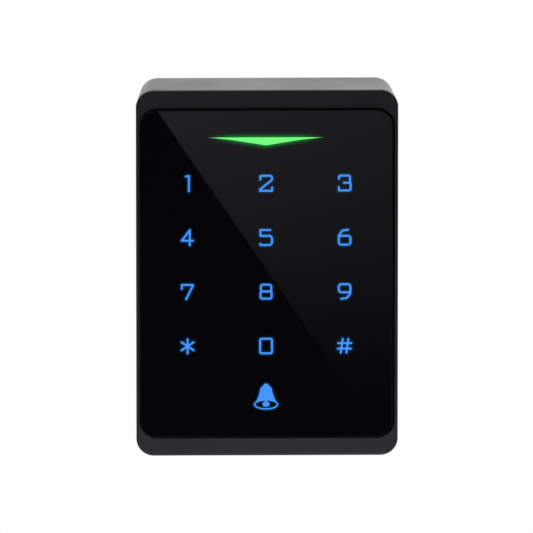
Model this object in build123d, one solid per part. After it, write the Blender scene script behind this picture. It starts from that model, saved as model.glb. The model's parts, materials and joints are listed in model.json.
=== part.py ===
from build123d import *
import os

# Wall-mounted keypad and card reader for a door.
#
# Frame, in millimetres: +X to the right as the user faces the reader, +Z up, and the front
# faces -Y.  The wall is the plane Y = 0.  The origin is the middle of the wall screw pattern, on
# the back of the mounting plate.  Every depth below is a distance in front of the wall.

os.makedirs("parts", exist_ok=True)

# ---------------------------------------------------------------- driving dimensions

# Housing
housing_width = 86.2
housing_height = 123.6
housing_corner = 5.8
side_draft = 1.7           # how much the left and right sides lean in towards the wall
end_draft = 0.75           # the same, for the top and the bottom
housing_back = 0.8         # the rear rim stands just off the wall
housing_front = 22.8
front_edge_round = 1.0
rear_edge_round = 0.4
rear_rim_wall = 3.4        # half the difference between the outline and the rear recess
seal_step = 1.4            # width of the ledge that carries the gasket

# Touch panel
panel_gap = 0.5
panel_x = -0.35            # the panel sits a little to the left in its opening
panel_width = 83.0
panel_height = 110.5
panel_corner = 5.5
panel_back = 21.5
panel_front = 23.5
panel_edge_round = 0.25
ledge_back = 19.7
ledge_front = 21.2
window_width = 76.0
window_height = 104.0
window_corner = 4.0

# Keypad
key_pitch_x = 25.8
key_rows = (30.65, 12.35, -5.95, -24.3)
bell_z = -41.5
stroke = 0.66
legend_depth = 0.7
well_width = 12.0
well_height = 11.0

# Status light
light_top_z = 46.15
light_half_width = 19.2
light_knee_x = 11.6
light_knee_drop = 0.75
light_drop = 2.65

# Electronics
shield_back = 18.2
board_back = 16.6
board_width = 75.6
board_height = 113.0
case_screw_x = 34.4
case_screw_z = 53.2
case_screw_r = 1.3
boss_r = 3.4
pillar_r = 2.4
board_screw_x = 20.0
board_screw_z = 54.4
board_screw_r = 1.1
screw_head_height = 1.6
status_lamp_x = (-12.0, 0.0, 12.0)

# Places on the rear of the board
coil_z = 33.0
coil_width = 60.0
coil_height = 30.0
coil_band = 3.0
coil_depth = 1.8
buzzer_place = (24.0, -33.0)
relay_place = (26.0, -8.0)
regulator_place = (-29.0, -13.0)
capacitor_places = ((-29.5, 2.0), (-29.5, 10.0))
crystal_place = (8.0, -22.5)
microcontroller_place = (-6.0, -22.0)
touch_controller_place = (6.0, -36.0)

# Rear cover and its seal
cover_back = 5.6
cover_front = 7.6
gasket_front = 8.1
cover_gap = 0.3

# Mounting plate
plate_thickness = 1.5
plate_width = 78.4
plate_top = 57.5
plate_bottom = -55.0
plate_corner = 4.0
box_screw_pitch = 60.3     # square flush box, side to side
gang_screw_pitch = 83.3    # upright single-gang box
slot_length = 9.0
slot_r = 2.2
cable_width = 36.0
cable_height = 30.0

# Hook pivot: a moulded bar on the housing hangs in two hooks on the plate
pivot_z = 56.6
pivot_depth = 2.8
bar_r = 1.2
pivot_clearance = 0.06
hook_thickness = 1.2
hook_tip = 0.8
hook_width = 9.0
hook_x = 22.0
cheek_width = 2.5

# Clamp screw in the bottom wall
tab_width = 14.0
tab_reach = 8.0
tab_bottom = -56.5
tab_top = -55.0
tab_gap = 0.3              # under the tab
lip_gap = 0.1              # between the tab and the lip that carries the nut
clamp_depth = 5.0
clamp_r = 1.5
nut_side = 5.5
nut_bottom = -54.25
nut_top = -52.45
washer_top = -58.4
washer_bottom = -58.8
screw_head_bottom = -60.6
screw_head_r = 2.75
screw_tip = -51.0
thread_clearance = 0.05

# Bay that the clamp screw stands in
bay_half_width = 9.0
bay_top_z = -49.6
bay_front = 11.0

# Tamper switch
tamper_x = -22.0
tamper_z = -34.0
switch_top = 13.1
collar_back = 9.25
collar_front = 10.25
plunger_r = 1.5
collar_r = 2.5
spring_r = 2.15
spring_wire_r = 0.16
spring_turns = 4

# Harness socket
socket_z = 0.0
socket_width = 31.0
socket_height = 8.6
socket_wall = 1.0
socket_mouth = 5.9
pin_pitch = 3.5
pin_count = 8


# ---------------------------------------------------------------- helpers


def at(depth):
    """The XZ plane at a distance in front of the wall, with its normal towards the user."""
    return Plane.XZ.offset(depth)


def slab(sketch, back, front):
    """An outline drawn in X and Z, filled between two distances in front of the wall."""
    return extrude(at(back) * sketch, front - back)


def rounded(width, height, radius, x=0.0, z=0.0):
    return Pos(x, z) * RectangleRounded(width, height, radius)


def block(x, z, width, height, back, front):
    return slab(Pos(x, z) * Rectangle(width, height), back, front)


def rod(x, z, radius, back, front):
    return slab(Pos(x, z) * Circle(radius), back, front)


def upright_rod(x, depth, radius, bottom, top):
    """A cylinder along Z."""
    plane = Plane((x, -depth, bottom), x_dir=(1, 0, 0), z_dir=(0, 0, 1))
    return extrude(plane * Circle(radius), top - bottom)


def side_plane(x):
    """A plane across X whose local axes are depth towards the wall (+Y) and height (+Z)."""
    return Plane((x, 0, 0), x_dir=(0, 1, 0), z_dir=(1, 0, 0))


def save(name, shape):
    shape.label = name
    export_step(shape, f"parts/{name}.step")


def combine(shapes):
    result = shapes[0]
    for shape in shapes[1:]:
        result = result + shape
    return result


def mirrored_pair(make, x):
    return [make(-x), make(x)]


# ---------------------------------------------------------------- legend outlines


def pen_path(points, radii=None):
    """A stroke of the legend pen along a path, with round ends."""
    corners = [(x, z) for x, z in points]
    path = FilletPolyline(*corners, radius=radii) if radii else Polyline(*corners)
    return make_face(offset(path, stroke / 2, side=Side.BOTH, closed=True).edges())


def pen_runs(points):
    """Straight strokes from point to point, each with round ends."""
    return combine([pen_path(run) for run in zip(points, points[1:])])


def pen_loop(width, height, radius, x=0.0, z=0.0):
    """A closed rounded-rectangle stroke; width and height are those of its centre line."""
    outer = RectangleRounded(width + stroke, height + stroke, radius + stroke / 2)
    inner = RectangleRounded(width - stroke, height - stroke, radius - stroke / 2)
    return Pos(x, z) * (outer - inner)


def digit_one():
    return pen_path([(-0.5, 2.4), (0.5, 2.6), (0.5, -2.57)])


def digit_two():
    points = [(-1.85, 1.3), (-1.85, 2.57), (1.95, 2.57), (1.95, 1.2), (-1.9, -2.0)]
    crook = pen_path(points, [0.3, 0.7, 0.5])
    return crook + pen_runs([(-1.93, -2.0), (-1.93, -2.5), (1.95, -2.5), (1.95, -1.4)])


def digit_three():
    upper = pen_path([(-1.85, 1.5), (-1.85, 2.57), (1.75, 2.57), (1.75, 0.13)], [0.5, 0.6])
    lower = pen_path([(1.95, -0.2), (1.95, -2.45), (-1.9, -2.45)], [0.7])
    middle = pen_runs([(-0.25, 0.13), (1.75, 0.13), (1.95, -0.2)])
    return combine([upper, lower, middle, pen_path([(-1.9, -2.45), (-1.9, -1.3)])])


def digit_four():
    return pen_runs([(0.75, -2.5), (0.8, 2.6), (-1.9, -0.95), (1.8, -0.95)])


def digit_five():
    points = [(1.35, 2.57), (-1.85, 2.57), (-1.85, 0.6), (1.95, 0.6), (1.95, -2.5)]
    points += [(-1.85, -2.5), (-1.85, -2.1)]
    return pen_path(points, [0.1, 0.1, 1.0, 1.0, 0.1])


def digit_six():
    tail = pen_path([(1.1, 2.57), (-0.75, 2.35), (-1.9, 0.7), (-1.9, -1.2)], [0.7, 0.8])
    return tail + pen_loop(3.8, 3.0, 0.85, z=-0.95)


def digit_seven():
    return pen_path([(-1.84, 1.1), (-1.84, 2.4), (1.9, 2.4), (-0.45, -2.4)], [0.1, 0.2])


def digit_eight():
    return pen_loop(3.4, 2.3, 0.65, z=1.25) + pen_loop(3.65, 2.45, 0.7, z=-1.1)


def digit_nine():
    tail = pen_path([(1.9, 1.2), (1.9, -0.6), (0.7, -2.2), (-1.1, -2.42)], [0.8, 0.7])
    return tail + pen_loop(3.8, 2.75, 0.85, z=1.12)


def digit_zero():
    return pen_loop(3.9, 4.92, 0.55)


def star_sign():
    spokes = [[(0, -2.35), (0, 2.35)], [(-1.95, -1.35), (1.95, 1.35)], [(-1.95, 1.35), (1.95, -1.35)]]
    return combine([pen_path(spoke) for spoke in spokes])


def hash_sign():
    bars = [[(-0.6, 2.3), (-1.25, -2.3)], [(1.25, 2.3), (0.6, -2.3)]]
    bars += [[(-2.05, 0.9), (2.2, 0.9)], [(-2.2, -0.95), (2.05, -0.95)]]
    return combine([pen_path(bar) for bar in bars])


def bell_sign():
    """A generic bell: a flared dome with a nub, an open oval rim and a clapper."""
    flank = Spline((2.0, 2.1), (2.55, 0.06), (3.3, -1.5), tangents=[(0.1, -1), (0.8, -1)])
    crown = ThreePointArc((2.0, 2.1), (0, 3.95), (-2.0, 2.1))
    hem = Line((-3.3, -1.5), (3.3, -1.5))
    dome = make_face((flank + mirror(flank, Plane.YZ) + crown + hem).edges())
    nub = Pos(0, 3.6) * Circle(0.9)
    rim = Pos(0, -2.6) * Ellipse(4.0, 1.75)
    mouth = Pos(0, -2.6) * Ellipse(3.5, 1.3)
    clapper = Pos(0, -2.5) * Ellipse(1.15, 0.9)
    neck = Pos(0, -1.5) * Rectangle(0.6, 0.8)
    return dome + nub + rim - mouth + clapper + neck


def light_outline():
    """The status light: a shallow chevron, thin at both tips."""
    tip = (light_half_width, light_top_z)
    knee = (light_knee_x, light_top_z - light_knee_drop)
    point = (0, light_top_z - light_drop)
    left_knee = (-light_knee_x, knee[1])
    left_tip = (-light_half_width, light_top_z)
    return make_face(Polyline(tip, knee, point, left_knee, left_tip, close=True).edges())


def key_places():
    """Key name, outline and centre, in reading order."""
    rows = [
        (("1", digit_one), ("2", digit_two), ("3", digit_three)),
        (("4", digit_four), ("5", digit_five), ("6", digit_six)),
        (("7", digit_seven), ("8", digit_eight), ("9", digit_nine)),
        (("star", star_sign), ("0", digit_zero), ("hash", hash_sign)),
    ]
    places = []
    for row, z in zip(rows, key_rows):
        for (name, draw), column in zip(row, (-1, 0, 1)):
            places.append((name, draw, panel_x + column * key_pitch_x, z))
    places.append(("bell", bell_sign, panel_x, bell_z))
    return places


# ---------------------------------------------------------------- mounting plate


def slot(x, z, turn=0.0):
    return Pos(x, z) * Rot(0, 0, turn) * SlotOverall(slot_length, 2 * slot_r)


def plate_outline():
    height = plate_top - plate_bottom
    return rounded(plate_width, height, plate_corner, z=(plate_top + plate_bottom) / 2)


def hook(x):
    """A curled lug that cradles the housing's bar, open upwards."""
    inner = bar_r + pivot_clearance
    outer = inner + hook_thickness
    plane = side_plane(x - hook_width / 2)
    ring = Pos(-pivot_depth, pivot_z) * (Circle(outer) - Circle(inner))
    lower_half = Pos(-pivot_depth, pivot_z - outer / 2) * Rectangle(2 * outer, outer)
    tip_place = Pos(-pivot_depth - (inner + outer) / 2, pivot_z + hook_tip / 2)
    tip = tip_place * Rectangle(hook_thickness, hook_tip)
    return extrude(plane * (ring & lower_half), hook_width) + extrude(plane * tip, hook_width)


def clamp_tab():
    """The bottom edge bent forward, with a notch that is open towards the user."""
    middle = (tab_bottom + tab_top) / 2
    thickness = tab_top - tab_bottom
    tab = block(0, middle, tab_width, thickness, 0, tab_reach)
    notch_r = clamp_r + 0.2
    notch = upright_rod(0, clamp_depth, notch_r, tab_bottom - 1, tab_top + 1)
    mouth = block(0, middle, 2 * notch_r, thickness + 2, clamp_depth, tab_reach + 1)
    return tab - notch - mouth


def mounting_plate():
    outline = plate_outline()
    for x in (-box_screw_pitch / 2, box_screw_pitch / 2):
        outline -= slot(x, 0)
    for z in (-gang_screw_pitch / 2, gang_screw_pitch / 2):
        outline -= slot(0, z, 90)
    outline -= rounded(cable_width, cable_height, 4.0, z=socket_z)
    plate = slab(outline, 0, plate_thickness)
    for lug in mirrored_pair(hook, hook_x):
        plate += lug
    return plate + clamp_tab()


# ---------------------------------------------------------------- housing


def cover_outline(margin=0.0):
    """The sealed rear opening, less the bay that the clamp screw stands in."""
    width = housing_width - 2 * rear_rim_wall - 2 * cover_gap
    height = housing_height - 2 * rear_rim_wall - 2 * cover_gap
    shape = RectangleRounded(width + 2 * margin, height + 2 * margin, plate_corner + margin)
    return shape - below(bay_top_z - margin + cover_gap, bay_half_width + cover_gap - margin)


def below(top, half_width):
    """The area under a height, wide enough for the clamp bay."""
    return Pos(0, top - 10) * Rectangle(2 * half_width, 20)


def outer_shell():
    front = RectangleRounded(housing_width, housing_height, housing_corner)
    rear_width = housing_width - 2 * side_draft
    rear_height = housing_height - 2 * end_draft
    rear = RectangleRounded(rear_width, rear_height, housing_corner)
    shell = loft([at(housing_back) * rear, at(housing_front) * front], ruled=True)
    front_edges = shell.faces().sort_by(Axis.Y)[0].edges()
    shell = fillet(front_edges, front_edge_round)
    rear_edges = shell.faces().sort_by(Axis.Y)[-1].edges()
    return fillet(rear_edges, rear_edge_round)


def case_screw_places():
    return [(sx * case_screw_x, sz * case_screw_z) for sx in (-1, 1) for sz in (-1, 1)]


def board_screw_places():
    return [(sx * board_screw_x, sz * board_screw_z) for sx in (-1, 1) for sz in (-1, 1)]


def pivot_bar(x):
    """The bar under the top wall, between two cheeks that hang from it."""
    inner_top = housing_height / 2 - rear_rim_wall
    plane = side_plane(x - hook_width / 2 - 0.4 - cheek_width)
    length = hook_width + 0.8 + 2 * cheek_width
    bar = extrude(plane * Pos(-pivot_depth, pivot_z) * Circle(bar_r), length)
    cheek_top = inner_top + 1
    cheek = Pos(-pivot_depth - 0.3, (pivot_z + cheek_top) / 2) * Rectangle(1.8, cheek_top - pivot_z)
    left = extrude(plane * cheek, cheek_width)
    right = Pos(length - cheek_width, 0, 0) * left
    return bar + left + right


def clamp_bay_cuts():
    """Room for the plate's tab, the captive nut and the clamp screw."""
    tab_middle = (tab_bottom - tab_gap + tab_top + lip_gap) / 2
    tab_height = tab_top - tab_bottom + tab_gap + lip_gap
    tab_room = block(0, tab_middle, tab_width + 1.2, tab_height, 0, tab_reach + 0.6)
    nut_height = nut_top - nut_bottom + 0.1
    nut_middle = (nut_bottom + nut_top) / 2
    nut_front = clamp_depth + nut_side / 2 + 0.05
    nut_room = block(0, nut_middle, nut_side + 0.1, nut_height, 0, nut_front)
    shank_width = 2 * (clamp_r + 0.2)
    lip_middle = (tab_top + nut_bottom) / 2
    lip_room = block(0, lip_middle, shank_width, nut_bottom - tab_top + 0.2, 0, clamp_depth)
    under = -housing_height / 2 - 1
    shank = upright_rod(0, clamp_depth, shank_width / 2, under, screw_tip + 0.6)
    head = upright_rod(0, clamp_depth, screw_head_r + 0.35, under, washer_top)
    return combine([tab_room, nut_room, lip_room, shank, head])


def front_housing():
    body = outer_shell()
    recess_width = housing_width - 2 * rear_rim_wall
    recess_height = housing_height - 2 * rear_rim_wall
    plate_room = RectangleRounded(recess_width, recess_height, plate_corner + cover_gap)
    pad = below(tab_bottom - tab_gap, bay_half_width)
    body -= slab(plate_room - pad, 0, plate_thickness + 0.3)
    body -= slab(cover_outline(cover_gap), plate_thickness, gasket_front)
    cavity = RectangleRounded(recess_width - 2 * seal_step, recess_height - 2 * seal_step, plate_corner)
    bay = below(bay_top_z + seal_step, bay_half_width + seal_step)
    body -= slab(cavity - bay, gasket_front, bay_front)
    body -= slab(cavity, bay_front, ledge_back)
    body -= slab(RectangleRounded(window_width, window_height, window_corner), ledge_back, ledge_front)
    opening_width = panel_width + 2 * panel_gap
    opening_height = panel_height + 2 * panel_gap
    opening = RectangleRounded(opening_width, opening_height, panel_corner + panel_gap)
    body -= slab(opening, ledge_front, housing_front + 1)
    body = with_bosses(body)
    for bar in mirrored_pair(pivot_bar, hook_x):
        body += bar
    return body - clamp_bay_cuts()


def with_bosses(body):
    """Screw bosses for the rear cover and short pillars for the board."""
    for x, z in case_screw_places():
        body += rod(x, z, boss_r, cover_front, ledge_back)
        body -= rod(x, z, case_screw_r, cover_front, ledge_back - 1.0)
    for x, z in board_screw_places():
        body += rod(x, z, pillar_r, shield_back, ledge_back)
        body -= rod(x, z, board_screw_r, shield_back, ledge_front - 0.4)
    return body


# ---------------------------------------------------------------- front: panel, legends and light


def touch_panel(legends):
    outline = rounded(panel_width, panel_height, panel_corner, panel_x)
    panel = slab(outline, panel_back, panel_front)
    rim = panel.faces().sort_by(Axis.Y)[0].edges()
    panel = fillet(rim, panel_edge_round)
    for legend in legends:
        panel -= legend
    return panel


def legend_inlay(draw, x, z):
    return slab(Pos(x, z) * draw(), panel_front - legend_depth, panel_front)


def panel_adhesive():
    ring = rounded(panel_width - 0.6, panel_height - 0.6, panel_corner, panel_x)
    ring -= RectangleRounded(window_width + 1.0, window_height + 1.0, window_corner)
    return slab(ring, ledge_front, panel_back)


def key_diffuser():
    return slab(RectangleRounded(window_width, window_height, window_corner), ledge_front, panel_back)


def light_shield():
    """A black separator that stops each key's light from reaching its neighbours."""
    shape = RectangleRounded(window_width - 0.6, window_height - 0.6, window_corner)
    for _, _, x, z in key_places():
        shape -= rounded(well_width, well_height, 2.0, x, z)
    shape -= rounded(2 * light_half_width + 2, 7.0, 1.5, 0, light_top_z - light_drop / 2)
    for x, z in case_screw_places():
        shape -= Pos(x, z) * Circle(boss_r + 0.3)
    return slab(shape, shield_back, ledge_front)


def status_light_guide():
    """A clear bar that spreads three lamps along the status light."""
    bar = rounded(2 * light_half_width + 1.4, 6.4, 1.2, 0, light_top_z - light_drop / 2)
    guide = slab(bar, shield_back + 1.0, ledge_front)
    for x in status_lamp_x:
        guide -= rod(x, light_top_z - light_drop / 2, 1.6, shield_back, shield_back + 1.4)
    return guide


# ---------------------------------------------------------------- electronics


def main_board():
    board = RectangleRounded(board_width, board_height, 2.0)
    for x, z in case_screw_places():
        board -= Pos(x, z) * Circle(boss_r + 0.5)
        edge_x = x + (2.5 if x > 0 else -2.5)
        board -= Pos(edge_x, z) * Rectangle(5, 2 * boss_r + 1)
    for x, z in board_screw_places():
        board -= Pos(x, z) * Circle(board_screw_r + 0.1)
    return slab(board, board_back, shield_back)


def key_lamps():
    lamps = []
    for _, _, x, z in key_places():
        for dx in (-2.5, 2.5):
            lamps.append(block(x + dx, z, 1.6, 0.8, shield_back, shield_back + 0.6))
    return Compound(children=lamps)


def status_lamps():
    z = light_top_z - light_drop / 2
    lamps = [block(x, z, 1.6, 1.2, shield_back, shield_back + 0.7) for x in status_lamp_x]
    return Compound(children=lamps)


def flat_chip(place, side, height, leads, lead_pitch):
    """A square chip on the rear of the board, with gull-wing leads on its four sides."""
    x, z = place
    top = board_back - height
    body = block(x, z, side, side, top, board_back - 0.1)
    body = chamfer(body.faces().sort_by(Axis.Y)[-1].edges(), 0.15)
    span = (leads - 1) * lead_pitch
    reach = side / 2 + 0.5
    foot = board_back - 0.25
    for index in range(leads):
        along = -span / 2 + index * lead_pitch
        for out in (-reach, reach):
            body += block(x + out, z + along, 1.1, 0.3, foot, board_back)
            body += block(x + along, z + out, 0.3, 1.1, foot, board_back)
    return body


def small_outline_chip(x, z, leads):
    """A narrow chip with leads along its two long sides."""
    pitch = 1.27
    length = leads * pitch
    body = block(x, z, 3.9, length, board_back - 1.6, board_back - 0.1)
    for index in range(leads):
        along = z - length / 2 + (index + 0.5) * pitch
        body += block(x, along, 6.0, 0.4, board_back - 0.3, board_back)
    return body


def antenna_coil():
    """The flat wound coil that reads cards, around the middle of the board."""
    outer = rounded(coil_width, coil_height, 6.0, 0, coil_z)
    inner = rounded(coil_width - 2 * coil_band, coil_height - 2 * coil_band, 3.0, 0, coil_z)
    return slab(outer - inner, board_back - coil_depth, board_back)


def buzzer():
    can = rod(*buzzer_place, 6.0, board_back - 5.5, board_back)
    can = fillet(can.faces().sort_by(Axis.Y)[-1].edges(), 0.4)
    return can - rod(*buzzer_place, 1.0, board_back - 6, board_back - 4.5)


def relay():
    case = block(*relay_place, 10.0, 20.0, board_back - 8.6, board_back)
    return fillet(case.edges().filter_by(Axis.Y), 0.6)


def regulator():
    x, z = regulator_place
    body = block(x, z, 6.5, 6.2, board_back - 2.3, board_back)
    tab = block(x, z + 4.1, 5.2, 2.2, board_back - 0.6, board_back)
    legs = [block(x + dx, z - 4.2, 0.8, 2.4, board_back - 0.5, board_back) for dx in (-2.3, 2.3)]
    return combine([body, tab] + legs)


def power_capacitors():
    cans = []
    for place in capacitor_places:
        can = rod(*place, 3.15, board_back - 7.7, board_back)
        cans.append(fillet(can.faces().sort_by(Axis.Y)[-1].edges(), 0.35))
    return Compound(children=cans)


def crystal():
    return slab(Pos(*crystal_place) * SlotOverall(11.0, 4.6), board_back - 3.5, board_back)


def pin_places():
    first = -(pin_count - 1) * pin_pitch / 2
    return [first + index * pin_pitch for index in range(pin_count)]


def harness_socket():
    """A shrouded socket that opens through the rear cover for the wiring harness."""
    shroud = block(0, socket_z, socket_width, socket_height, socket_mouth, board_back)
    inside_width = socket_width - 2 * socket_wall
    inside_height = socket_height - 2 * socket_wall
    shroud -= block(0, socket_z, inside_width, inside_height, socket_mouth - 1, board_back - 1.6)
    top_wall_z = socket_z + socket_height / 2
    shroud -= block(0, top_wall_z, 4.0, 2 * socket_wall + 0.1, socket_mouth - 1, socket_mouth + 4)
    for x in pin_places():
        shroud -= block(x, socket_z, 0.8, 0.8, board_back - 2, board_back)
    return shroud


def harness_pins():
    tip = board_back - 5.4
    pins = [block(x, socket_z, 0.8, 0.8, tip, board_back) for x in pin_places()]
    return Compound(children=pins)


def socket_seal():
    """A rubber ring between the socket and the rear cover."""
    ring = rounded(socket_width + 3.0, socket_height + 3.0, 1.5, 0, socket_z)
    ring -= Pos(0, socket_z) * Rectangle(socket_width, socket_height)
    return slab(ring, cover_back, cover_front)


# ---------------------------------------------------------------- tamper switch


def tamper_switch():
    """The switch body on the board, with a bore for the long plunger."""
    body = block(tamper_x, tamper_z, 6.2, 6.2, switch_top, board_back)
    body = fillet(body.edges().filter_by(Axis.Y), 0.4)
    return body - rod(tamper_x, tamper_z, plunger_r + 0.05, 12, 16.0)


def tamper_plunger():
    """A pin pressed in by the mounting plate while the reader is closed."""
    pin = rod(tamper_x, tamper_z, plunger_r, plate_thickness + 0.02, 14.2)
    tip = pin.faces().sort_by(Axis.Y)[-1].edges()
    pin = fillet(tip, 0.6)
    return pin + rod(tamper_x, tamper_z, collar_r, collar_back, collar_front)


def tamper_spring():
    """The coil that pushes the collar towards the wall."""
    rise = switch_top - collar_front - 2 * spring_wire_r
    helix = Helix(pitch=rise / spring_turns, height=rise, radius=spring_r - spring_wire_r)
    wire = sweep(Plane(helix @ 0, z_dir=helix % 0) * Circle(spring_wire_r), helix)
    return at(collar_front + spring_wire_r) * Pos(tamper_x, tamper_z) * wire


# ---------------------------------------------------------------- rear cover and fastenings


def rear_cover():
    cover = slab(cover_outline(), cover_back, cover_front)
    cover -= block(0, socket_z, socket_width + 3.0, socket_height + 3.0, 0, 10)
    cover -= rod(tamper_x, tamper_z, plunger_r + 0.06, 0, 10)
    for x, z in case_screw_places():
        cover -= rod(x, z, case_screw_r + 0.2, 0, 10)
    for z in (-24.0, 24.0):
        cover += block(0, z, 44.0, 1.4, cover_back - 1.4, cover_back)
    return cover


def case_gasket():
    ring = cover_outline() - cover_outline(-seal_step + 0.2)
    gasket = slab(ring, cover_front, gasket_front)
    for x, z in case_screw_places():
        gasket -= rod(x, z, boss_r + 0.1, 0, 20)
    return gasket


def pan_screw(x, z, shank_r, head_r, head_back, shank_end):
    """A self-tapping screw driven from the rear, with a cross recess."""
    head = rod(x, z, head_r, head_back, head_back + screw_head_height)
    head = fillet(head.faces().sort_by(Axis.Y)[-1].edges(), 0.6)
    recess = block(x, z, 2.4, 0.5, head_back - 1, head_back + 0.9)
    recess += block(x, z, 0.5, 2.4, head_back - 1, head_back + 0.9)
    shank = rod(x, z, shank_r, head_back + screw_head_height, shank_end)
    tip = shank.faces().sort_by(Axis.Y)[0].edges()
    return head + chamfer(tip, 0.4) - recess


def case_screws():
    back = cover_back - screw_head_height
    screws = [pan_screw(x, z, case_screw_r, 2.4, back, 16.0) for x, z in case_screw_places()]
    return Compound(children=screws)


def board_screws():
    back = board_back - screw_head_height
    end = ledge_front - 0.6
    screws = [pan_screw(x, z, board_screw_r, 2.0, back, end) for x, z in board_screw_places()]
    return Compound(children=screws)


def captive_nut():
    middle = (nut_bottom + nut_top) / 2
    back = clamp_depth - nut_side / 2
    nut = block(0, middle, nut_side, nut_top - nut_bottom, back, back + nut_side)
    return nut - upright_rod(0, clamp_depth, clamp_r + thread_clearance, nut_bottom - 1, nut_top + 1)


def screw_washer():
    ring = upright_rod(0, clamp_depth, screw_head_r + 0.1, washer_bottom, washer_top)
    hole_r = clamp_r + thread_clearance
    return ring - upright_rod(0, clamp_depth, hole_r, washer_bottom - 1, washer_top + 1)


def security_screw():
    """The clamp screw: a low head with a hexagon socket and a centre post."""
    head = upright_rod(0, clamp_depth, screw_head_r, screw_head_bottom, washer_bottom)
    head = fillet(head.faces().sort_by(Axis.Z)[0].edges(), 0.4)
    plane = Plane((0, -clamp_depth, screw_head_bottom), x_dir=(1, 0, 0), z_dir=(0, 0, 1))
    socket = extrude(plane * RegularPolygon(1.35, 6), 1.2) - extrude(plane * Circle(0.45), 1.2)
    shank = upright_rod(0, clamp_depth, clamp_r, washer_bottom, screw_tip)
    shank = chamfer(shank.faces().sort_by(Axis.Z)[-1].edges(), 0.4)
    return head + shank - socket


# ---------------------------------------------------------------- write the parts


def write_front():
    legends = []
    for name, draw, x, z in key_places():
        legend = legend_inlay(draw, x, z)
        legends.append(legend)
        save(f"key_legend_{name}", legend)
    light = slab(Pos(panel_x, 0) * light_outline(), panel_front - legend_depth, panel_front)
    save("status_light_window", light)
    save("touch_panel", touch_panel(legends + [light]))


def write_parts():
    makers = [mounting_plate, front_housing, rear_cover, case_gasket, case_screws, board_screws]
    makers += [panel_adhesive, key_diffuser, light_shield, status_light_guide]
    makers += [main_board, key_lamps, status_lamps, antenna_coil, buzzer, relay, regulator]
    makers += [power_capacitors, crystal, harness_socket, harness_pins, socket_seal]
    makers += [tamper_switch, tamper_plunger, tamper_spring]
    makers += [captive_nut, screw_washer, security_screw]
    for make in makers:
        save(make.__name__, make())
    save("microcontroller", flat_chip(microcontroller_place, 7.0, 1.5, 12, 0.5))
    save("touch_controller", flat_chip(touch_controller_place, 5.0, 1.2, 8, 0.5))
    save("card_reader_chip", small_outline_chip(0.0, coil_z, 8))


write_front()
write_parts()
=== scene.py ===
"""The looks of the keypad access reader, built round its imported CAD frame.  Everything is in metres.

The reader's front faces -Y, +Z is up, and the wall that it hangs on is the plane Y = 0.
"""

import json
import math

import bmesh
import bpy
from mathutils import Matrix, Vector
from mathutils.bvhtree import BVHTree


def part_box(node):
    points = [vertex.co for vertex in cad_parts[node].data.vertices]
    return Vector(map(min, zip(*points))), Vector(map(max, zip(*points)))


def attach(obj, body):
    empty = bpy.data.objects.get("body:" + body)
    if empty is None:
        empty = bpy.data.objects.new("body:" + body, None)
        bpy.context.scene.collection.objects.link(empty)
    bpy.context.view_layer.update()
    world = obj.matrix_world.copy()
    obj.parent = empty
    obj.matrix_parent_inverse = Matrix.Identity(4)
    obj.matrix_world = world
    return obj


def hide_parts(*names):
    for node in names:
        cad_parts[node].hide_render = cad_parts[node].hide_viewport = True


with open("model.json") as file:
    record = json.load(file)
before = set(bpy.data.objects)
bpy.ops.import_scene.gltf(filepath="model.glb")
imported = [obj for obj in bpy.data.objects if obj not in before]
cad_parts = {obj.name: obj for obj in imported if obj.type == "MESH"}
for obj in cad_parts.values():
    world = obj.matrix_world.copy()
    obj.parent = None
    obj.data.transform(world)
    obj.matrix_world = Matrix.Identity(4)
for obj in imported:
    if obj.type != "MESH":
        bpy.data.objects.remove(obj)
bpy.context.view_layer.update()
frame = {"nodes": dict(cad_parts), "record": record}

MM = 0.001

# ---------------------------------------------------------------- driving values

# Camera
camera_elevation = math.radians(13.7)
camera_azimuth = math.radians(-0.8)
camera_distance = 5.6
picture_width = 175.02 * MM          # across the picture, at the reader
sensor_width = 36.0
clip_near = 0.1
clip_far = 50.0
aim = Vector((-0.2 * MM, -23.0 * MM, 2.48 * MM))

# Surroundings: the floor lies far below, so that the underside can be seen; the world is dim
floor_size = 12.0
floor_height = -3.0
surround_light = 0.02
side_card_distance = 1.7
side_card_light = 0.09

# Glow that spreads through the panel's smoked layer, over a faint even painted glow that stands in for
# ambient light
painted_ambient_glow = (0.0009, 0.0009, 0.0012)
blue_glow = (0.0, 0.030, 0.085)
blue_glow_reach = 0.36 * MM
green_glow = (0.0, 0.165, 0.016)
green_glow_reach = 0.71 * MM
green_glow_start = 11.5 * MM         # the light is thinner beyond this and leaks less
legend_margin = 1.2 * MM             # how far round a lit shape the panel is cut up for its glow
light_margin = 2.4 * MM
glow_cell = 0.24 * MM
glow_power = 1.8                     # how sharply a glow ends past its reach
tip_power = 1.7                      # how fast the green glow dies towards the light's tips

# Sheen on the panel: the edge of a soft reflection, as two points on the panel's front
sheen_upper = (-35.7 * MM, 54.9 * MM)
sheen_lower = (25.7 * MM, -37.4 * MM)
sheen_softness = 0.3 * MM
sheen_foot_z = -48.0 * MM
sheen_width = 220.0 * MM
sheen_peak = 0.36
sheen_power = 1.35                   # how fast the sheen dims towards its foot
sheen_card_y = -0.5
sheen_card_margin = 3.0 * MM
sheen_card_step = 1.0 * MM


# ---------------------------------------------------------------- node helpers


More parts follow.
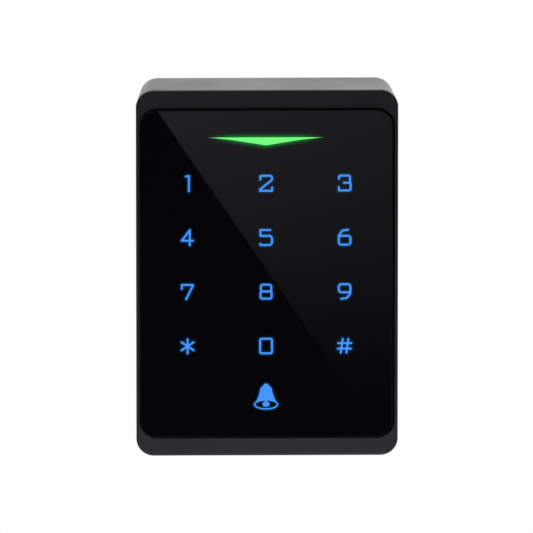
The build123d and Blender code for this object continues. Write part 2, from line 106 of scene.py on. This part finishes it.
class Surface:
    """A Principled material whose varying inputs are wired up one at a time."""

    def __init__(self, name, colour, roughness, metallic=0.0, **sockets):
        self.material = bpy.data.materials.new(name)
        self.material.use_nodes = True
        self.nodes = self.material.node_tree.nodes
        self.links = self.material.node_tree.links
        self.shader = self.nodes["Principled BSDF"]
        self.set("Base Color", (*colour, 1.0))
        self.set("Roughness", roughness)
        self.set("Metallic", metallic)
        for socket, value in sockets.items():
            self.set(socket.replace("_", " "), value)
        self.coordinates = self.node("ShaderNodeTexCoord").outputs["Object"]

    def node(self, kind, **values):
        made = self.nodes.new(kind)
        for key, value in values.items():
            if hasattr(made, key):
                setattr(made, key, value)
            else:
                made.inputs[key.replace("_", " ")].default_value = value
        return made

    def set(self, socket, value):
        self.shader.inputs[socket].default_value = value

    def link(self, source, target):
        self.links.new(source, target)

    def feed(self, source, socket):
        self.links.new(source, self.shader.inputs[socket])

    def stretched(self, scale):
        """Object coordinates scaled by axis, so that a noise draws out into lines."""
        mapping = self.node("ShaderNodeMapping")
        mapping.inputs["Scale"].default_value = scale
        self.link(self.coordinates, mapping.inputs["Vector"])
        return mapping.outputs["Vector"]

    def noise(self, scale, detail=3.0, roughness=0.55, vector=None):
        made = self.node("ShaderNodeTexNoise", Scale=scale, Detail=detail, Roughness=roughness)
        self.link(vector or self.coordinates, made.inputs["Vector"])
        return made.outputs["Fac"]

    def cells(self, scale, feature="F1", output="Distance", vector=None):
        made = self.node("ShaderNodeTexVoronoi", feature=feature, Scale=scale)
        self.link(vector or self.coordinates, made.inputs["Vector"])
        return made.outputs[output]

    def ramp(self, source, low, high, out_low, out_high):
        """source, mapped from low..high to out_low..out_high and clamped."""
        made = self.node("ShaderNodeMapRange")
        made.inputs["From Min"].default_value = low
        made.inputs["From Max"].default_value = high
        made.inputs["To Min"].default_value = out_low
        made.inputs["To Max"].default_value = out_high
        self.link(source, made.inputs["Value"])
        return made.outputs["Result"]

    def math(self, operation, first, second):
        made = self.node("ShaderNodeMath", operation=operation)
        for index, value in enumerate((first, second)):
            if isinstance(value, (int, float)):
                made.inputs[index].default_value = value
            else:
                self.link(value, made.inputs[index])
        return made.outputs["Value"]

    def blend(self, factor, first, second):
        """A colour between two, by a varying factor; either may be a colour or a socket."""
        made = self.node("ShaderNodeMix", data_type="RGBA")
        self.link(factor, made.inputs["Factor"])
        for socket, value in ((made.inputs[6], first), (made.inputs[7], second)):
            if isinstance(value, tuple):
                socket.default_value = (*value, 1.0)
            else:
                self.link(value, socket)
        return made.outputs[2]

    def bump(self, height, depth, strength=1.0, under=None):
        made = self.node("ShaderNodeBump", Distance=depth, Strength=strength)
        self.link(height, made.inputs["Height"])
        if under is not None:
            self.link(under, made.inputs["Normal"])
        self.feed(made.outputs["Normal"], "Normal")
        return made.outputs["Normal"]

    def edges(self, radius, sharpness=3.0):
        """1 on edges that handling has rubbed, 0 on flats, broken up by a noise; on the housing it
        also lightens the edges as a painted highlight.
        """
        bevel = self.node("ShaderNodeBevel", samples=6, Radius=radius)
        geometry = self.node("ShaderNodeNewGeometry")
        dot = self.node("ShaderNodeVectorMath", operation="DOT_PRODUCT")
        self.link(bevel.outputs["Normal"], dot.inputs[0])
        self.link(geometry.outputs["Normal"], dot.inputs[1])
        turned = self.math("SUBTRACT", 1.0, dot.outputs["Value"])
        grain = self.ramp(self.noise(900.0, 4.0), 0.35, 0.65, 0.5, 1.5)
        worn = self.math("MULTIPLY", self.math("MULTIPLY", turned, sharpness), grain)
        return self.ramp(worn, 0.0, 1.0, 0.0, 1.0)

    def open_to_light(self, reach):
        """1 in the open and less in gaps, where less light reaches; on the housing this darkens the
        colour as painted shade.
        """
        occlusion = self.node("ShaderNodeAmbientOcclusion", samples=6, Distance=reach)
        return occlusion.outputs["AO"]


def moulded(name, colour, roughness, grain, grain_depth, spread=0.08, rubbed=None, **sockets):
    """Moulded plastic: fine spark-eroded grain, uneven gloss and lighter, shinier edges."""
    s = Surface(name, colour, roughness, **sockets)
    cloud = s.noise(60.0, 4.0)
    fine = s.noise(grain, 2.0, 0.6)
    worn = s.edges(0.4 * MM)
    pale = rubbed or tuple(min(1.0, 1.5 * c + 0.004) for c in colour)
    dark = tuple(0.88 * c for c in colour)
    tint = s.blend(s.ramp(cloud, 0.35, 0.65, 0.0, 1.0), dark, colour)
    s.feed(s.blend(worn, tint, pale), "Base Color")
    uneven = s.ramp(cloud, 0.3, 0.7, roughness - spread, roughness + spread)
    s.feed(s.math("SUBTRACT", uneven, s.math("MULTIPLY", worn, 0.8 * spread)), "Roughness")
    s.bump(fine, grain_depth, 0.6)
    return s


def brushed(name, colour, roughness, fineness):
    """Metal with a fine grain, drawn out along the axis where its fineness is least."""
    s = Surface(name, colour, roughness, 1.0)
    lines = s.noise(1.0, 4.0, 0.6, s.stretched(fineness))
    worn = s.edges(0.2 * MM)
    dark = tuple(0.8 * c for c in colour)
    s.feed(s.blend(s.ramp(lines, 0.3, 0.7, 0.0, 1.0), dark, colour), "Base Color")
    uneven = s.ramp(lines, 0.3, 0.7, roughness - 0.08, roughness + 0.1)
    s.feed(s.math("SUBTRACT", uneven, s.math("MULTIPLY", worn, 0.1)), "Roughness")
    s.bump(lines, 0.004 * MM, 0.5)
    return s


# ---------------------------------------------------------------- materials, one per slot


def housing_plastic():
    """Satin black ABS with a fine even grain, lightly polished edges that are also lightened as a
    painted highlight, and painted shade that darkens its gaps.
    """
    s = Surface("housing_plastic", (0.0225, 0.0225, 0.0245), 0.42)
    cloud = s.noise(45.0, 5.0)
    fine = s.cells(2600.0, "SMOOTH_F1")
    grit = s.noise(5200.0, 2.0, 0.7)
    worn = s.edges(0.35 * MM, 2.0)
    tint = s.blend(s.ramp(cloud, 0.35, 0.65, 0.0, 1.0), (0.0205, 0.0205, 0.0222),
                   (0.0242, 0.0242, 0.0265))
    # Painted shade: the colour drops to near black in gaps and recesses, where little light reaches.
    outside_painted_shade = s.ramp(s.open_to_light(2.0 * MM), 0.45, 0.8, 0.0, 1.0)
    # Rubbed edges, lighter partly from wear and partly as a painted highlight on the rims.
    rubbed = s.blend(worn, tint, (0.040, 0.040, 0.043))
    s.feed(s.blend(outside_painted_shade, (0.003, 0.003, 0.0035), rubbed), "Base Color")
    uneven = s.ramp(cloud, 0.3, 0.7, 0.38, 0.47)
    s.feed(s.math("SUBTRACT", uneven, s.math("MULTIPLY", worn, 0.07)), "Roughness")
    first = s.bump(fine, 0.006 * MM, 0.5)
    s.bump(grit, 0.003 * MM, 0.5, first)
    return s


def panel_gloss():
    """Hard-coated black acrylic.  The glow near the legends, and a faint even painted glow for ambient
    light, are colours painted on the mesh.
    """
    black, fleck = (0.001, 0.001, 0.0014), (0.2, 0.2, 0.2)
    s = Surface("panel_gloss", black, 0.02, IOR=1.49)
    smear = s.noise(38.0, 5.0, 0.6, s.stretched((1.0, 1.0, 0.55)))
    dust = s.cells(1500.0)
    s.feed(s.ramp(smear, 0.45, 0.75, 0.012, 0.03), "Roughness")
    speck = s.ramp(dust, 0.02, 0.05, 0.02, 0.0)
    s.feed(s.blend(speck, black, fleck), "Base Color")
    s.bump(s.noise(22.0, 1.0), 0.002 * MM, 0.3)
    glow = s.node("ShaderNodeVertexColor", layer_name="glow")
    s.feed(glow.outputs["Color"], "Emission Color")
    s.set("Emission Strength", 1.0)
    return s


def lit(name, colour, deeper, reach):
    """A lit legend: translucent plastic whose light is a little uneven."""
    s = Surface(name, tuple(0.2 * c for c in colour), 0.06, IOR=1.49)
    mottle = s.ramp(s.noise(reach, 3.0), 0.3, 0.7, 0.0, 0.35)
    s.feed(s.blend(mottle, colour, deeper), "Emission Color")
    s.set("Emission Strength", 1.0)
    s.bump(s.noise(1800.0, 1.0), 0.002 * MM, 0.2)
    return s


def legend_blue():
    return lit("legend_blue", (0.052, 0.265, 0.84), (0.046, 0.235, 0.77), 500.0)


def light_green():
    """The status light, which fades out towards its two ends."""
    s = Surface("light_green", (0.02, 0.12, 0.03), 0.06, IOR=1.49)
    low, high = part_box("status_light_window")
    middle, half = (low.x + high.x) / 2, (high.x - low.x) / 2
    split = s.node("ShaderNodeSeparateXYZ")
    s.link(s.coordinates, split.inputs["Vector"])
    off_centre = s.math("ABSOLUTE", s.math("SUBTRACT", split.outputs["X"], middle), 0.0)
    fade = s.ramp(off_centre, 0.80 * half, 0.995 * half, 1.0, 0.0)
    mottle = s.ramp(s.noise(400.0, 2.0), 0.3, 0.7, 0.0, 0.25)
    core = s.blend(mottle, (0.17, 1.0, 0.205), (0.13, 0.93, 0.17))
    s.feed(s.blend(fade, (0.07, 0.16, 0.08), core), "Emission Color")
    s.set("Emission Strength", 1.0)
    s.bump(s.noise(1800.0, 1.0), 0.002 * MM, 0.2)
    return s


def plate_steel():
    """Hot-dip galvanised sheet: grey spangle in crystals a millimetre or two across."""
    s = Surface("plate_steel", (0.55, 0.56, 0.58), 0.38, 1.0)
    warped = s.node("ShaderNodeTexNoise", Scale=180.0, Detail=2.0)
    s.link(s.coordinates, warped.inputs["Vector"])
    shifted = s.node("ShaderNodeMix", data_type="VECTOR")
    shifted.inputs["Factor"].default_value = 0.004
    s.link(s.coordinates, shifted.inputs[4])
    s.link(warped.outputs["Color"], shifted.inputs[5])
    crystal = s.cells(520.0, "F1", "Color", shifted.outputs[1])
    tone = s.node("ShaderNodeSeparateColor")
    s.link(crystal, tone.inputs["Color"])
    worn = s.edges(0.25 * MM)
    sheet = s.blend(tone.outputs["Red"], (0.52, 0.53, 0.55), (0.64, 0.65, 0.67))
    s.feed(s.blend(worn, sheet, (0.75, 0.75, 0.76)), "Base Color")
    s.feed(s.ramp(tone.outputs["Green"], 0.0, 1.0, 0.34, 0.46), "Roughness")
    rolled = s.noise(1.0, 3.0, 0.6, s.stretched((2400.0, 2400.0, 40.0)))
    s.bump(rolled, 0.004 * MM, 0.4)
    return s


def board_laminate():
    """Green solder mask with buried tracks and the glass weave just showing."""
    s = Surface("board_laminate", (0.012, 0.10, 0.045), 0.28, Coat_Weight=0.4)
    s.set("Coat Roughness", 0.12)
    weave_x = s.noise(1.0, 1.0, 0.5, s.stretched((1800.0, 900.0, 90.0)))
    weave_z = s.noise(1.0, 1.0, 0.5, s.stretched((90.0, 900.0, 1800.0)))
    weave = s.math("ADD", weave_x, weave_z)
    track = s.cells(260.0, "DISTANCE_TO_EDGE")
    copper = s.ramp(track, 0.05, 0.09, 1.0, 0.0)
    mask = s.blend(s.ramp(weave, 0.8, 1.2, 0.0, 1.0), (0.009, 0.075, 0.032), (0.014, 0.115, 0.05))
    s.feed(s.blend(copper, mask, (0.03, 0.17, 0.07)), "Base Color")
    s.feed(s.ramp(weave, 0.8, 1.2, 0.22, 0.36), "Roughness")
    first = s.bump(copper, 0.02 * MM, 0.6)
    s.bump(weave, 0.004 * MM, 0.5, first)
    return s


def coil_copper():
    """Enamelled wire wound in tight turns, seen as ridges that run round the loop, with painted shade
    darkening the troughs between turns.
    """
    s = Surface("coil_copper", (0.62, 0.27, 0.11), 0.3, 1.0, Coat_Weight=0.5)
    low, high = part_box("antenna_coil")
    middle = (low + high) / 2
    half = (high - low) / 2
    split = s.node("ShaderNodeSeparateXYZ")
    s.link(s.coordinates, split.inputs["Vector"])
    from_middle_x = s.math("ABSOLUTE", s.math("SUBTRACT", split.outputs["X"], middle.x), 0.0)
    from_middle_z = s.math("ABSOLUTE", s.math("SUBTRACT", split.outputs["Z"], middle.z), 0.0)
    across = s.math("SUBTRACT", from_middle_x, half.x)
    along = s.math("SUBTRACT", from_middle_z, half.z)
    inset = s.math("MAXIMUM", across, along)
    turns = s.math("SINE", s.math("MULTIPLY", inset, 2 * math.pi / (0.3 * MM)), 0.0)
    ridge_and_shade = s.ramp(turns, -1.0, 1.0, 0.0, 1.0)
    # Painted shade: the troughs between turns are coloured much darker than the crests.
    s.feed(s.blend(ridge_and_shade, (0.28, 0.10, 0.04), (0.72, 0.33, 0.14)), "Base Color")
    s.feed(s.ramp(s.noise(900.0), 0.3, 0.7, 0.22, 0.4), "Roughness")
    s.bump(ridge_and_shade, 0.06 * MM, 0.8)
    return s


def adhesive_tape():
    return moulded("adhesive_tape", (0.022, 0.022, 0.022), 0.8, 1500.0, 0.05 * MM,
                   rubbed=(0.05, 0.05, 0.05))


def diffuser_film():
    return moulded("diffuser_film", (0.82, 0.83, 0.85), 0.5, 2600.0, 0.01 * MM, spread=0.05,
                   Transmission_Weight=0.25)


def guide_clear():
    return moulded("guide_clear", (0.85, 0.9, 0.9), 0.12, 900.0, 0.003 * MM, spread=0.04,
                   Transmission_Weight=0.85, IOR=1.49)


def lamp_resin():
    return moulded("lamp_resin", (0.85, 0.78, 0.42), 0.25, 4000.0, 0.004 * MM, spread=0.06,
                   Transmission_Weight=0.2)


def relay_plastic():
    return moulded("relay_plastic", (0.03, 0.10, 0.34), 0.35, 2200.0, 0.008 * MM)


def socket_nylon():
    return moulded("socket_nylon", (0.80, 0.77, 0.68), 0.42, 1800.0, 0.01 * MM,
                   Subsurface_Weight=0.05)


def plunger_plastic():
    return moulded("plunger_plastic", (0.74, 0.73, 0.69), 0.35, 2600.0, 0.006 * MM)


def seal_rubber():
    return moulded("seal_rubber", (0.018, 0.018, 0.018), 0.68, 1400.0, 0.02 * MM, spread=0.1,
                   rubbed=(0.045, 0.045, 0.045))


def chip_epoxy():
    """Moulded package, rougher than the housing."""
    return moulded("chip_epoxy", (0.022, 0.022, 0.024), 0.55, 3000.0, 0.012 * MM)


def dull_black(name, roughness):
    return lambda: moulded(name, (0.022, 0.022, 0.023), roughness, 2400.0, 0.012 * MM)


def can_aluminium():
    return brushed("can_aluminium", (0.72, 0.73, 0.75), 0.28, (900.0, 60.0, 900.0))


def can_steel():
    return brushed("can_steel", (0.62, 0.62, 0.63), 0.25, (80.0, 1500.0, 1500.0))


def pin_brass():
    return brushed("pin_brass", (0.78, 0.68, 0.42), 0.25, (1500.0, 60.0, 1500.0))


def screw_zinc():
    return brushed("screw_zinc", (0.62, 0.64, 0.68), 0.3, (1400.0, 1400.0, 300.0))


def screw_stainless():
    return brushed("screw_stainless", (0.58, 0.57, 0.55), 0.26, (1600.0, 1600.0, 200.0))


def spring_steel():
    return brushed("spring_steel", (0.5, 0.5, 0.52), 0.3, (3000.0, 3000.0, 3000.0))


SLOT_MAKERS = {
    "housing_plastic": housing_plastic,
    "panel_gloss": panel_gloss,
    "legend_blue": legend_blue,
    "light_green": light_green,
    "plate_steel": plate_steel,
    "board_laminate": board_laminate,
    "coil_copper": coil_copper,
    "adhesive_tape": adhesive_tape,
    "diffuser_film": diffuser_film,
    "guide_clear": guide_clear,
    "shield_plastic": dull_black("shield_plastic", 0.6),
    "lamp_resin": lamp_resin,
    "chip_epoxy": chip_epoxy,
    "buzzer_plastic": dull_black("buzzer_plastic", 0.45),
    "relay_plastic": relay_plastic,
    "can_aluminium": can_aluminium,
    "can_steel": can_steel,
    "socket_nylon": socket_nylon,
    "pin_brass": pin_brass,
    "seal_rubber": seal_rubber,
    "screw_zinc": screw_zinc,
    "screw_stainless": screw_stainless,
    "switch_plastic": dull_black("switch_plastic", 0.5),
    "plunger_plastic": plunger_plastic,
    "spring_steel": spring_steel,
}


def paint_nodes():
    """Gives every CAD node its slot's material."""
    made = {slot: make().material for slot, make in SLOT_MAKERS.items()}
    for part in frame["record"]["subparts"]:
        node = frame["nodes"][part["node"]]
        node.data.materials.clear()
        node.data.materials.append(made[part["material_slot"]])
    return made


# ---------------------------------------------------------------- touch panel with its glow


def mesh_tree(names):
    """One search tree over the faces of several CAD nodes."""
    points, faces = [], []
    for name in names:
        mesh = frame["nodes"][name].data
        start = len(points)
        points += [v.co.copy() for v in mesh.vertices]
        faces += [[start + i for i in p.vertices] for p in mesh.polygons]
    return BVHTree.FromPolygons(points, faces)


def front_faces(bm, low, high):
    """The panel's front faces that reach into a rectangle."""
    found = []
    for face in bm.faces:
        if face.normal.y > -0.99:
            continue
        xs = [v.co.x for v in face.verts]
        zs = [v.co.z for v in face.verts]
        if max(xs) > low.x and min(xs) < high.x and max(zs) > low.z and min(zs) < high.z:
            found.append(face)
    return found


def with_parts(faces):
    """The faces with their corners and edges, which is what a cut takes."""
    corners = list({v for f in faces for v in f.verts})
    edges = list({e for f in faces for e in f.edges})
    return corners + edges + faces


def cut(bm, geometry, axis, place):
    """Splits the given geometry along one plane and gives back all of its parts."""
    point, normal = Vector(), Vector()
    point[axis] = place
    normal[axis] = 1.0
    made = bmesh.ops.bisect_plane(bm, geom=geometry, plane_co=point, plane_no=normal, dist=1e-7)
    return made["geom"]


def refine(bm, low, high, step):
    """Cuts the front inside a rectangle into cells of about one step."""
    geometry = with_parts(front_faces(bm, low, high))
    for axis in (0, 2):
        for place in (low[axis], high[axis]):
            geometry = cut(bm, geometry, axis, place)
    geometry = with_parts(front_faces(bm, low, high))
    for axis in (0, 2):
        count = max(1, round((high[axis] - low[axis]) / step))
        for index in range(1, count):
            place = low[axis] + (high[axis] - low[axis]) * index / count
            geometry = cut(bm, geometry, axis, place)


def halo(tree, point, colour, reach):
    """Light that leaks round a lit shape, by the distance from its outline."""
    distance = tree.find_nearest(point)[3]
    return Vector(colour) * math.exp(-((distance / reach) ** glow_power))


def light_strength(x, low, high):
    """How much the status light leaks at x: all of it in the middle and none at its tips."""
    middle, half = (low + high) / 2, (high - low) / 2
    along = (half - abs(x - middle)) / (half - green_glow_start)
    return min(1.0, max(0.0, along)) ** tip_power


def paint_glow(mesh, legends, light):
    """Stores the leaked light, and a faint even painted glow for ambient light, as a colour on the
    panel.
    """
    front = min(v.co.y for v in mesh.vertices)
    blue, green = mesh_tree(legends), mesh_tree([light])
    low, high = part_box(light)
    glow = mesh.color_attributes.new("glow", "FLOAT_COLOR", "POINT")
    for vertex, value in zip(mesh.vertices, glow.data):
        # Painted light: every point starts with a faint even glow that stands in for ambient light.
        colour = Vector(painted_ambient_glow)
        if vertex.co.y < front + 0.01 * MM:
            colour += halo(blue, vertex.co, blue_glow, blue_glow_reach)
            leak = light_strength(vertex.co.x, low.x, high.x)
            colour += leak * halo(green, vertex.co, green_glow, green_glow_reach)
        value.color = (*colour, 1.0)


def make_touch_panel(material):
    """The CAD panel with its front cut finely enough to carry the glow round each lit shape."""
    legends = [name for name in frame["nodes"] if name.startswith("key_legend_")]
    light = "status_light_window"
    bm = bmesh.new()
    bm.from_mesh(frame["nodes"]["touch_panel"].data)
    margins = [(name, legend_margin) for name in sorted(legends)] + [(light, light_margin)]
    for name, margin in margins:
        low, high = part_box(name)
        reach = Vector((margin, 0, margin))
        refine(bm, low - reach, high + reach, glow_cell)
    mesh = bpy.data.meshes.new("touch_panel_face")
    bm.to_mesh(mesh)
    bm.free()
    paint_glow(mesh, sorted(legends), light)
    mesh.materials.clear()
    mesh.materials.append(material)
    panel = bpy.data.objects.new("touch_panel_face", mesh)
    bpy.context.scene.collection.objects.link(panel)
    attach(panel, "reader")
    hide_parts("touch_panel")


# ---------------------------------------------------------------- stage, light and camera


def sheet(name, size, place, normal, material):
    """A flat card, with its front along normal."""
    mesh = bpy.data.meshes.new(name)
    x, y = size[0] / 2, size[1] / 2
    mesh.from_pydata([(-x, -y, 0), (x, -y, 0), (x, y, 0), (-x, y, 0)], [], [(0, 1, 2, 3)])
    mesh.materials.append(material)
    card = bpy.data.objects.new(name, mesh)
    bpy.context.scene.collection.objects.link(card)
    card.location = place
    card.rotation_mode = "QUATERNION"
    card.rotation_quaternion = Vector(normal).to_track_quat("Z", "Y")
    return card


def glowing(name, colour, strength):
    """A matt material that gives off light by itself."""
    material = bpy.data.materials.new(name)
    material.use_nodes = True
    shader = material.node_tree.nodes["Principled BSDF"]
    shader.inputs["Base Color"].default_value = (*colour, 1.0)
    shader.inputs["Roughness"].default_value = 1.0
    shader.inputs["Specular IOR Level"].default_value = 0.0
    shader.inputs["Emission Color"].default_value = (*colour, 1.0)
    shader.inputs["Emission Strength"].default_value = strength
    return material


def only_seen_by(card, camera=False, glossy=False):
    card.visible_camera = camera
    card.visible_diffuse = False
    card.visible_glossy = glossy
    card.visible_transmission = False
    card.visible_shadow = False
    card.visible_volume_scatter = False


def make_world():
    """White behind the object, and only a dim even light on it."""
    world = bpy.data.worlds.new("studio")
    world.use_nodes = True
    nodes, links = world.node_tree.nodes, world.node_tree.links
    nodes.clear()
    path = nodes.new("ShaderNodeLightPath")
    dim = nodes.new("ShaderNodeBackground")
    dim.inputs["Color"].default_value = (0.95, 0.97, 1.0, 1.0)
    dim.inputs["Strength"].default_value = surround_light
    white = nodes.new("ShaderNodeBackground")
    white.inputs["Color"].default_value = (1.0, 1.0, 1.0, 1.0)
    mix = nodes.new("ShaderNodeMixShader")
    output = nodes.new("ShaderNodeOutputWorld")
    links.new(path.outputs["Is Camera Ray"], mix.inputs["Fac"])
    links.new(dim.outputs["Background"], mix.inputs[1])
    links.new(white.outputs["Background"], mix.inputs[2])
    links.new(mix.outputs["Shader"], output.inputs["Surface"])
    bpy.context.scene.world = world


def make_camera():
    """The camera, which has no roll and looks down on the reader at the given angles."""
    data = bpy.data.cameras.new("camera")
    data.sensor_width = sensor_width
    data.lens = sensor_width * camera_distance / picture_width
    camera = bpy.data.objects.new("camera", data)
    bpy.context.scene.collection.objects.link(camera)
    level = math.cos(camera_elevation)
    back = Vector((level * math.sin(camera_azimuth), -level * math.cos(camera_azimuth),
                   math.sin(camera_elevation)))
    camera.location = aim + back * camera_distance
    camera.rotation_mode = "QUATERNION"
    camera.rotation_quaternion = (-back).to_track_quat("-Z", "Y")
    data.clip_start, data.clip_end = clip_near, clip_far
    bpy.context.scene.camera = camera
    return camera


def sheen_at(x, z):
    """The distance past the sheen's edge and its brightness there, at a point of the panel's front."""
    along = Vector((sheen_lower[0] - sheen_upper[0], sheen_lower[1] - sheen_upper[1])).normalized()
    from_edge = (x - sheen_upper[0]) * -along.y + (z - sheen_upper[1]) * along.x
    height = max(0.0, (z - sheen_foot_z) / (sheen_upper[1] - sheen_foot_z))
    fall = 1.0 - max(0.0, from_edge) / sheen_width
    return from_edge, sheen_peak * fall * height ** sheen_power


def sheen_material():
    """Glows at its stored level, and only past the sheen's edge."""
    material = glowing("sheen_card", (0, 0, 0), 1.0)
    nodes, links = material.node_tree.nodes, material.node_tree.links
    shader = nodes["Principled BSDF"]
    shader.inputs["Emission Color"].default_value = (0.98, 0.98, 1.10, 1.0)
    from_edge, level = nodes.new("ShaderNodeAttribute"), nodes.new("ShaderNodeAttribute")
    from_edge.attribute_name = "from_edge"
    level.attribute_name = "level"
    edge = nodes.new("ShaderNodeMapRange")
    edge.inputs["From Min"].default_value = -sheen_softness / 2
    edge.inputs["From Max"].default_value = sheen_softness / 2
    links.new(from_edge.outputs["Fac"], edge.inputs["Value"])
    strength = nodes.new("ShaderNodeMath")
    strength.operation = "MULTIPLY"
    links.new(edge.outputs["Result"], strength.inputs[0])
    links.new(level.outputs["Fac"], strength.inputs[1])
    links.new(strength.outputs["Value"], shader.inputs["Emission Strength"])
    return material


def steps(start, end, step):
    """Places from start on, one step apart, until end is passed."""
    return [start + i * step for i in range(math.ceil((end - start) / step) + 1)]


def make_sheen_card(camera):
    """A graded card in front of the reader that only reflections see, as a diagonal sheen.

    Each of its points stands where the camera's sight line goes after the panel's front mirrors it.
    """
    low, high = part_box("touch_panel")
    eye = camera.location.copy()
    eye.y = 2 * low.y - eye.y
    stretch = (sheen_card_y - eye.y) / (low.y - eye.y)
    columns = steps(low.x - sheen_card_margin, high.x + sheen_card_margin, sheen_card_step)
    rows = steps(low.z - sheen_card_margin, high.z + sheen_card_margin, sheen_card_step)
    points, faces, values = [], [], []
    for z in rows:
        for x in columns:
            seen = Vector((x, low.y, z))
            points.append(eye + (seen - eye) * stretch)
            values.append(sheen_at(x, z))
    wide = len(columns)
    for j in range(len(rows) - 1):
        for i in range(wide - 1):
            first = j * wide + i
            faces.append((first, first + 1, first + wide + 1, first + wide))
    mesh = bpy.data.meshes.new("sheen_card")
    mesh.from_pydata(points, [], faces)
    for name, column in zip(("from_edge", "level"), zip(*values)):
        mesh.attributes.new(name, "FLOAT", "POINT").data.foreach_set("value", column)
    mesh.materials.append(sheen_material())
    card = bpy.data.objects.new("sheen_card", mesh)
    bpy.context.scene.collection.objects.link(card)
    only_seen_by(card, glossy=True)


def area_light(name, place, target, size, radiance, colour=(1.0, 1.0, 1.0)):
    """A soft box that lights the matt surfaces and shows in no reflection."""
    data = bpy.data.lights.new(name, "AREA")
    data.shape = "RECTANGLE"
    data.size, data.size_y = size
    data.energy = radiance * math.pi * size[0] * size[1]
    data.color = colour
    light = bpy.data.objects.new(name, data)
    bpy.context.scene.collection.objects.link(light)
    light.location = place
    light.rotation_mode = "QUATERNION"
    light.rotation_quaternion = (Vector(target) - Vector(place)).to_track_quat("-Z", "Y")
    light.visible_camera = False
    light.visible_glossy = False
    return light


def white_card(name, size, place, normal, light):
    """A card that shows only in reflections."""
    card = sheet(name, size, place, normal, glowing(name, (1, 1, 1), light))
    only_seen_by(card, glossy=True)


def make_stage():
    floor = sheet("floor", (floor_size, floor_size), (0, 0, floor_height), (0, 0, 1),
                  glowing("floor", (1, 1, 1), 1.0))
    only_seen_by(floor, camera=True)
    white_card("backdrop", (5, 2.4), (0, 1.6, 1.0), (0, -1, 0), 1.5)
    white_card("ceiling", (5, 1.9), (0, 0.65, 2.2), (0, 0, -1), 0.9)
    for name, side in (("left_card", -1), ("right_card", 1)):
        white_card(name, (3.6, 2.4), (side * side_card_distance, 0, 0), (-side, 0, 0), side_card_light)
    white_card("under_card", (3, 2), (0, 0.3, -1), (0, 0, 1), 0.13)


def make_lights():
    area_light("front_box", (0.1, -1.6, 0.9), (0, 0, 0), (1.2, 0.9), 3.1)
    area_light("low_bounce", (0, -0.13, -0.17), (0, 0, -0.03), (0.3, 0.12), 4.0, (0.9, 0.93, 1.0))
    area_light("left_fill", (-1.3, -0.5, 0.2), (0, 0, 0), (0.7, 0.9), 0.6)
    area_light("right_fill", (1.3, -0.5, 0.2), (0, 0, 0), (0.7, 0.9), 0.5)
    area_light("rear_box", (0.5, 1.6, 0.7), (0, 0, 0), (1.2, 0.9), 1.2)


bpy.context.scene.view_settings.view_transform = "Standard"
bpy.context.scene.view_settings.look = "None"
made_materials = paint_nodes()
make_touch_panel(made_materials["panel_gloss"])
make_world()
make_sheen_card(make_camera())
make_stage()
make_lights()
